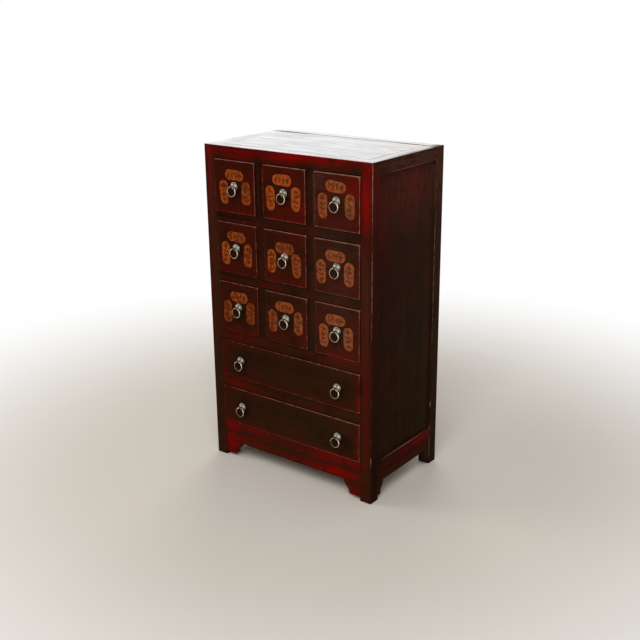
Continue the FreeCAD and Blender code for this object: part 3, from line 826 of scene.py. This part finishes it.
for name, baseRed in zip(drawers, fronts["red"]):
    low, high = frontBox(name)
    middle, half = (np.array(high) + low) / 2, (np.array(high) - low) / 2
    kind = "small" if name in smallDrawers else "wide"

    # behind the lap the ends stand back a hair, so that the dovetails of the box show on them
    def shape(points):
        behind = points[:, 1] > low.y + fronts["socketFrom"]
        points[behind, 0] -= (points[behind, 0] - middle[0]) * fronts["socketInset"] / half[0]

    front = board(
        low, high, 0, baseRed, jointed=False, arris=fronts["arris"], shape=shape,
        second=innerFace, sound=fronts["sound"][kind],
    )
    points, values = front["points"], front["values"]
    away = points - middle
    share = away / half
    rim = (half - np.abs(away))[:, [0, 2]].min(1)
    red = share[:, [0, 2]] @ fronts["redTilt"]
    red += fronts["redRim"][kind] * np.exp(-rim / fronts["rimWidth"])
    if kind == "wide":
        red += fronts["redEnds"] * np.exp((np.abs(away[:, 0]) - half[0]) / fronts["endWidth"])
    # a painted shadow round each pull, set right of and below its ring, darkens the red
    for node in ringNodes(name):
        ringLow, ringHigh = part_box(node)
        x = (ringLow.x + ringHigh.x) / 2 + fronts["pullRight"]
        fromPull = points[:, [0, 2]] - (x, ringHigh.z - fronts["pullDrop"])
        red -= fronts["pullShade"] * np.exp(-(fromPull**2).sum(1) / fronts["pullReach"]**2)
    values["redLeftAndShade"] += red
    corner = (((half - away)[:, [0, 2]] / fronts["chipReach"]) ** 2).sum(1)
    rubbed = fronts["rubbed"].get(name.split("_")[0], 0.0)
    rubbed = rubbed + fronts["rubbedRight"] * points[:, 0] * np.abs(share[:, 2])
    values["edge"] -= rubbed + fronts["chip"] * np.exp(-corner)
    finishes = [drawerFinish, crossWood]
    makePiece(f"drawerFront_{name}", [front], finishes, f"drawer_{name}", "lacquer", f"drawer_front_{name}")
print("drawer fronts made")


# Painted labels

labels = {
    "size": ((0.058, 0.026), (0.059, 0.0265), (0.059, 0.0265)),  # above, left and right of the pull
    "places": (  # row by row: mm right and up from the drawer's middle, and how bright the paint still is
        ((1, 29, 0.55), (-34, -15, 0.52), (37, -13, 0.42)),
        ((-4, 33, 0.86), (-40, -13, 0.74), (37, -8, 0.72)),
        ((-2, 35, 0.5), (-39, -12, 0.52), (38, -7, 0.4)),
        ((1, 30, 0.46), (-36, -15, 0.66), (37, -13, 0.42)),
        ((0, 24, 0.24), (-41, -13, 0.46), (35, -14, 0.44)),
        ((-4, 28, 0.54), (-45, -14, 0.54), (35, -10, 0.6)),
        ((2, 29, 0.46), (-37, -14, 0.26), (39, -8, 0.26)),
        ((-4, 31, 0.54), (-42, -11, 0.32), (38, -4, 0.4)),
        ((-5, 28, 0.54), (-39, -16, 0.54), (33, -12, 0.46)),
    ),
    "height": 0.0005, "sunk": 0.0003, "turn": 1.5, "waver": 0.035, "waves": (2, 3),
    "arcPoints": 19, "sidePoints": 9,
    # share of the width and of the height, from the middle of the face to the middle of the sunk back
    "section": (
        (0, 1), (0.35, 1), (0.7, 1), (0.88, 1), (0.95, 0.93),
        (0.985, 0.75), (1, 0.4), (1, 0), (0.5, 0), (0, 0),
    ),
    # painted sheen on the labels, growing to the right and downwards
    "paintedSheen": 0.22, "dustRight": 1.0, "paintedSheenUp": -0.28,  # at the origin, then per metre
}
sprig = {  # lengthwise places are shares of the label's length
    "pairs": 4, "leaf": (0.0092, 0.0019), "stem": 0.0006, "rise": 0.00015, "slant": 50, "slantJitter": 7,
    "roots": (-0.36, 0.22), "rootJitter": 0.0006, "offStem": 0.0006, "lengths": (0.8, 1.08),
    "widths": (0.75, 1.15), "stemEnds": (-0.43, 0.34), "tipEnds": (0.2, 0.42), "tipRise": 0.0004,
    "leafBend": 0.0009, "stemBend": 0.0006, "tipBend": 0.0003, "fullness": 0.8, "points": (7, 6),
}


# a rounded bar: a section of widths and heights carried round a stadium outline, closed on its middle line
def labelPlate(long, short, toWorld, **paint):
    radius = short / 2
    reach = long / 2 - radius
    # one end's half circle and one long side, then the same from the other end
    arc = np.linspace(-90, 90, labels["arcPoints"])
    side = np.linspace(1, -1, labels["sidePoints"])[1:-1]
    angle = joined([arc, np.full(len(side), 90)])
    angle = np.radians(joined([angle, angle + 180]))
    end = joined([np.ones(len(arc)), side])
    end = reach * joined([end, -end])
    # two slow waves round the outline
    waves = np.outer(labels["waves"], fullTurn(len(angle))) + draw.uniform(0, 2 * np.pi, (2, 1))
    radius = radius * (1 + labels["waver"] * np.sin(waves).sum(0))
    width, level = np.array(labels["section"]).T
    level = np.where(level > 0, level * labels["height"], -labels["sunk"])
    u = end + np.outer(width, np.cos(angle)) * radius
    v = np.outer(width, np.sin(angle)) * radius
    points = toWorld(u, v, level[:, None])
    quads = gridQuads(len(width), len(angle), wrapCols=True)
    return closedSurface(points, quads, edge=np.outer(1 - width, radius).ravel(), **paint)


# brush strokes: a flat oval section carried along each stroke, swelling as a half sine from tip to tip
def brushStrokes(starts, stops, widths, bends, toWorld, **paint):
    along, around = sprig["points"]
    s = np.linspace(0, 1, along)[None, :, None]
    turn = fullTurn(around)
    run = stops - starts
    side = np.stack([-run[:, 1], run[:, 0]], 1)
    side /= np.linalg.norm(side, axis=1, keepdims=True)
    bow = np.sin(np.pi * s)
    line = starts[:, None] + s * run[:, None] + bow * (bends[:, None] * side)[:, None]
    swell = bow ** sprig["fullness"]
    across = widths[:, None, None] * swell * np.cos(turn)
    flat = line[:, :, None] + across[..., None] * side[:, None, None]
    rise = labels["height"] + sprig["rise"] * swell * np.sin(turn)
    points = toWorld(flat[..., 0], flat[..., 1], rise)
    first = along * around * np.arange(len(starts))
    quads = (gridQuads(along, around, wrapCols=True) + first[:, None, None]).reshape(-1, 4)
    return closedSurface(points, quads, 1, edge=0.0, **paint)


# a herb sprig on a label: a stem with pairs of leaves that lean towards its tip, and one leaf on the tip
def labelSprig(long, toWorld, **paint):
    pairs = sprig["pairs"]
    length, width = sprig["leaf"]
    lean = np.repeat([1, -1], pairs)
    slant = np.radians(draw.normal(sprig["slant"], sprig["slantJitter"], 2 * pairs))
    root = draw.normal(np.tile(np.linspace(*sprig["roots"], pairs) * long, 2), sprig["rootJitter"])
    starts = np.stack([root, lean * sprig["offStem"]], 1)
    reach = length * draw.uniform(*sprig["lengths"], 2 * pairs)
    stops = starts + reach[:, None] * np.stack([np.cos(slant), lean * np.sin(slant)], 1)
    widths = width * draw.uniform(*sprig["widths"], 2 * pairs)
    ends = long * np.array([sprig["stemEnds"], sprig["tipEnds"]])
    starts = joined([starts, np.stack([ends[:, 0], [0, 0]], 1)])
    stops = joined([stops, np.stack([ends[:, 1], [0, sprig["tipRise"]]], 1)])
    widths = joined([widths, [sprig["stem"], width]])
    bends = joined([-sprig["leafBend"] * lean, [sprig["stemBend"], sprig["tipBend"]]])
    return brushStrokes(starts, stops, widths, bends, toWorld, **paint)


for name, places in zip(smallDrawers, labels["places"]):
    low, high = frontBox(name)
    surfaces = []
    for (long, short), (right, up, shade) in zip(labels["size"], places):
        x, z = (low.x + high.x) / 2 + mm * right, (low.z + high.z) / 2 + mm * up
        turn = math.radians(draw.normal(0 if up > 0 else 90, labels["turn"]))
        c, s = math.cos(turn), math.sin(turn)
        # how much painted sheen the label gets, by where it sits
        paintedSheen = labels["paintedSheen"] + labels["dustRight"] * x + labels["paintedSheenUp"] * z
        paint = {"shade": shade, "paintedSheen": max(0.0, paintedSheen)}

        def toWorld(u, v, w):
            return placed(x + c * u - s * v, low.y - w, z + s * u + c * v)

        surfaces += [labelPlate(long, short, toWorld, **paint), labelSprig(long, toWorld, **paint)]
    makePiece(f"labels_{name}", surfaces, [paintFinish, inkFinish], f"drawer_{name}", "lacquer")
print("labels made")


# Ring pulls

ringLow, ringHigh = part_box("ring_top_left")
pull = {
    "bossRadius": 0.0108, "bossHeight": 0.0072, "flange": 0.0018, "dome": 0.0086, "domeFullness": 0.9,
    "rim": ((0, 0.6), (0.0002, 0.85), (0.0006, 1)),  # inset from its edge and share of its height
    "ringWire": (ringHigh.y - ringLow.y) / 2, "ringWorn": 0.06,
    "eyeWire": 0.0009, "eyeSlack": 0.00035, "frontThickness": 0.018, "legLength": 0.013,
    # darkening, by column: tarnish from the foot over the rim; on the dome, tarnish at its foot and painted
    # shade towards the pin; painted shade on the boss's lower half; tarnish on pin and ring; painted shade on
    # the ring's inner side
    "rimDark": (0.6, 0.4, 0, 0, 0, 0.1, 0.3), "domeDark": (0.2, 0.35), "lowerHalfShade": (0.65, 0.15),
    "pinDark": 0.7, "ringDark": 0.05, "innerSideShade": (0.85, 0.4),
    "bossPoints": (15, 40), "wirePoints": 14, "ringPoints": 56, "pinPoints": (5, 6, 9, 30),
}
pull["ringRadius"] = (ringHigh.x - ringLow.x) / 2 - pull["ringWire"]
pull["eyeRadius"] = pull["ringWire"] + pull["eyeSlack"] + pull["eyeWire"]
pull["eyeReach"] = drawerY - (ringLow.y + ringHigh.y) / 2


# a turned boss: a flange with a rounded rim, then a dome whose radius is a cosine and whose height is a sine
def bossSurface(foot):
    r, h, f, d = (pull[key] for key in ("bossRadius", "bossHeight", "flange", "dome"))
    up, around = pull["bossPoints"]
    inset, level = np.array(pull["rim"]).T
    share = np.linspace(0, 1, up)
    climb = share * np.pi / 2
    radius = joined([[0, r], r - inset, d + inset[:0:-1], d * np.cos(climb) ** pull["domeFullness"]])
    height = joined([[0, 0], f * level, f * level[:0:-1], f + (h - f) * np.sin(climb)])
    # the dome darkens at its foot with tarnish and towards the pin with painted shade
    atFoot, shadeTowardsPin = pull["domeDark"]
    dark = joined([pull["rimDark"], atFoot * (1 - share) ** 4 + shadeTowardsPin * share**2])
    angle = fullTurn(around)
    x = foot[0] + np.outer(radius, np.cos(angle))
    z = foot[2] + np.outer(radius, np.sin(angle))
    points = placed(x, (foot[1] - height)[:, None], z)
    # painted shade: the boss's lower half is darker
    lowerHalfShade, start = pull["lowerHalfShade"]
    under = np.clip(start - np.outer(radius / r, np.sin(angle)), 0, 1)
    hollow = (dark[:, None] + lowerHalfShade * under).ravel()
    return closedSurface(points, gridQuads(len(radius), around, wrapCols=True), hollow=hollow)


# a round wire carried along a flat path: a circle between the plane's normal and the path's own, which points
# outwards on a ring, so that its inner side can carry painted shade
def wireAlong(path, planeNormal, radius, dark, innerSideShade, closed):
    step = np.roll(path, -1, 0) - np.roll(path, 1, 0) if closed else np.gradient(path, axis=0)
    heading = step / np.linalg.norm(step, axis=1, keepdims=True)
    side = np.cross(heading, planeNormal)[:, None]
    turn = fullTurn(pull["wirePoints"])
    radius = np.broadcast_to(radius, len(path))[:, None, None]
    ring = np.cos(turn)[:, None] * np.array(planeNormal) + np.sin(turn)[:, None] * side
    points = path[:, None] + radius * ring
    if not closed:
        ends = np.repeat(path[[0, -1], None], len(turn), 1)
        points = joined([ends[:1], points, ends[1:]])
    quads = gridQuads(len(points), len(turn), wrapRows=closed, wrapCols=True)
    # painted shade on the side of the wire that faces the ring's middle
    strength, start = innerSideShade
    dark = dark + strength * np.clip(start - np.sin(turn), 0, 1)
    return closedSurface(points.reshape(-1, 3), quads, hollow=np.tile(dark, len(points)))


# a split pin: from one clinched end, out through the boss, round the eye and back to the other clinched end
def pinSurface(foot):
    wire, eye, reach = pull["eyeWire"], pull["eyeRadius"], pull["eyeReach"]
    clinchCount, bendCount, lineCount, loopCount = pull["pinPoints"]
    inner = pull["frontThickness"] + wire
    start = math.asin(wire / eye)
    angle = np.linspace(start, 2 * np.pi - start, loopCount)
    loopY = reach - eye * np.cos(angle)
    loopZ = eye * np.sin(angle)
    clinch = np.linspace(pull["legLength"], 3 * wire, clinchCount)
    bend = np.radians(np.linspace(90, 0, bendCount))[:-1]
    line = np.linspace(-inner + wire, loopY[0], lineCount)[:-1]
    legY = joined([np.full(clinchCount, -inner), -inner + wire * np.cos(bend), line])
    legZ = joined([clinch, wire + wire * np.sin(bend), np.full(len(line), wire)])
    out = joined([legY, loopY, legY[::-1]])
    up = joined([legZ, loopZ, -legZ[::-1]])
    path = placed(foot[0], foot[1] - out, foot[2] + up)
    return wireAlong(path, (1, 0, 0), wire, pull["pinDark"], (0, 0), False)


# a loose ring: a circle that hangs from the eye, its wire worn thinner where it hangs
def ringSurface(foot):
    angle = fullTurn(pull["ringPoints"])
    radius = pull["ringRadius"]
    x = foot[0] + radius * np.sin(angle)
    z = foot[2] - radius + radius * np.cos(angle)
    path = placed(x, foot[1] - pull["eyeReach"], z)
    wire = pull["ringWire"] * (1 - pull["ringWorn"] * np.clip(np.cos(angle), 0, 1) ** 4)
    return wireAlong(path, (0, 1, 0), wire, pull["ringDark"], pull["innerSideShade"], True)


for name in drawers:
    surfaces = []
    for node in ringNodes(name):
        low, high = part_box(node)
        foot = ((low.x + high.x) / 2, frontBox(name)[0].y, high.z - pull["ringWire"])
        surfaces += [bossSurface(foot), pinSurface(foot)]
        makePiece(f"pullRing_{node[5:]}", [ringSurface(foot)], [ringFinish], node, "hardware", node)
    makePiece(f"pullBoss_{name}", surfaces, [bossFinish], f"drawer_{name}", "hardware", f"pull_{name}")
print("ring pulls made")


# Bare wood inside, on the CAD nodes whose shape is right

drawerBoxes = [f"drawer_box_{name}" for name in drawers]
for node in ("shelves", "shelf_cleats", "drawer_guides", "partitions", *drawerBoxes):
    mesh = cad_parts[node].data
    mesh.materials.clear()
    mesh.materials.append(crossWood if node == "shelves" else deepWood)
print("inside finished")


# Stage, light and camera

studio = {
    "floor": {"Base Color": (0.66, 0.61, 0.54, 1), "Roughness": 0.9, "Specular IOR Level": 0.1},
    "floorReach": 30, "floorFade": (0.55, 1.7),
    "ambient": 0.42, "mirrored": 0.55,  # the world's level, and its level in reflections
    "aim": (0, 0, 0.45),
    "lamps": {  # place, width and height, watts, and whether it is seen in reflections
        "frontSoftbox": ((1.3, -2.3, 2.7), (1.8, 1.8), 62, False),
        "leftSoftbox": ((-2.4, -1.4, 1.9), (1.4, 1.8), 22, True),
        "backSoftbox": ((-1.5, 2.5, 2.1), (1.8, 1.8), 34, False),
    },
    "paleWalls": (  # seen in reflections: towards, from and to this share of that way, and how bright
        ((-0.6, 0.79, 0.12), 0.1, 0.75, 1.55),
        ((0.94, 0.1, 0.33), 0.62, 0.96, 4.6),
    ),
}

# a wide floor that fades to white away from the chest
size = studio["floorReach"]
corners = [(-size, -size, 0), (size, -size, 0), (size, size, 0), (-size, size, 0)]
mesh = bpy.data.meshes.new("studioFloor")
mesh.from_pydata(corners, [], [(0, 1, 2, 3)])
material, place = startMaterial("paleFloor")
tree = material.node_tree
shader = tree.nodes["Principled BSDF"]
wire(shader, studio["floor"])
away = addNode("VectorMath", {0: place}, operation="LENGTH")["Value"]
path = addNode("LightPath", {}, tree)
seen = maths("MAXIMUM", path["Is Camera Ray"], path["Is Glossy Ray"])
seen = maths("MAXIMUM", seen, path["Is Transmission Ray"])
fade = times(soften(away, *studio["floorFade"]), seen)
paper = addNode("Emission", {"Color": (1, 1, 1, 1), "Strength": 1.0}, tree)[0]
mixed = addNode("MixShader", {0: fade, 1: shader.outputs[0], 2: paper})[0]
wire(tree.nodes["Material Output"], {"Surface": mixed})
mesh.materials.append(material)
addObject("studioFloor", mesh)

# white to the camera, dimmer as a light, and with the pale walls in reflections
world = bpy.data.worlds.new("studioWorld")
scene.world = world
world.use_nodes = True
tree = world.node_tree
path = addNode("LightPath", {}, tree)
heading = addNode("TexCoord", {}, tree)["Generated"]
glow = mirrored = studio["mirrored"]
for towards, start, stop, bright in studio["paleWalls"]:
    share = addNode("VectorMath", {0: heading, 1: towards}, operation="DOT_PRODUCT")["Value"]
    glow = scaled(soften(share, start, stop), bright - mirrored, glow)
sockets = {"Value": path["Is Glossy Ray"], "To Min": studio["ambient"], "To Max": glow}
light = addNode("MapRange", sockets)[0]
straight = maths("MAXIMUM", path["Is Camera Ray"], path["Is Transmission Ray"])
strength = addNode("MapRange", {"Value": straight, "To Min": light, "To Max": 1.0})[0]
wire(tree.nodes["Background"], {"Color": (1, 1, 1, 1), "Strength": strength})

for name, (place, size, watts, mirrored) in studio["lamps"].items():
    lamp = bpy.data.lights.new(name, "AREA")
    lamp.shape = "RECTANGLE"
    lamp.size, lamp.size_y = size
    lamp.energy = watts
    thing = addObject(name, lamp)
    turn = (Vector(place) - Vector(studio["aim"])).to_track_quat("Z", "Y")
    thing.matrix_world = Matrix.LocRotScale(place, turn, None)
    thing.visible_camera, thing.visible_glossy = False, mirrored

viewpoint = {
    "place": (1.4707, -1.9316, 1.2149), "azimuth": 37.4168, "elevation": 18.7901, "roll": -0.6099,
    "lens": 55.88, "sensor": 36, "clip": (0.05, 100),
}

# rolled about its own axis, raised from looking straight down, then turned to its azimuth
lens = bpy.data.cameras.new("photoCamera")
lens.sensor_width = viewpoint["sensor"]
lens.lens = viewpoint["lens"]
lens.clip_start, lens.clip_end = viewpoint["clip"]
scene.camera = camera = addObject("photoCamera", lens)
turns = (viewpoint["azimuth"], "Z"), (90 - viewpoint["elevation"], "X"), (viewpoint["roll"], "Z")
azimuth, tilt, roll = (Matrix.Rotation(math.radians(angle), 4, axis) for angle, axis in turns)
camera.matrix_world = Matrix.Translation(viewpoint["place"]) @ azimuth @ tilt @ roll
print("stage, light and camera made")
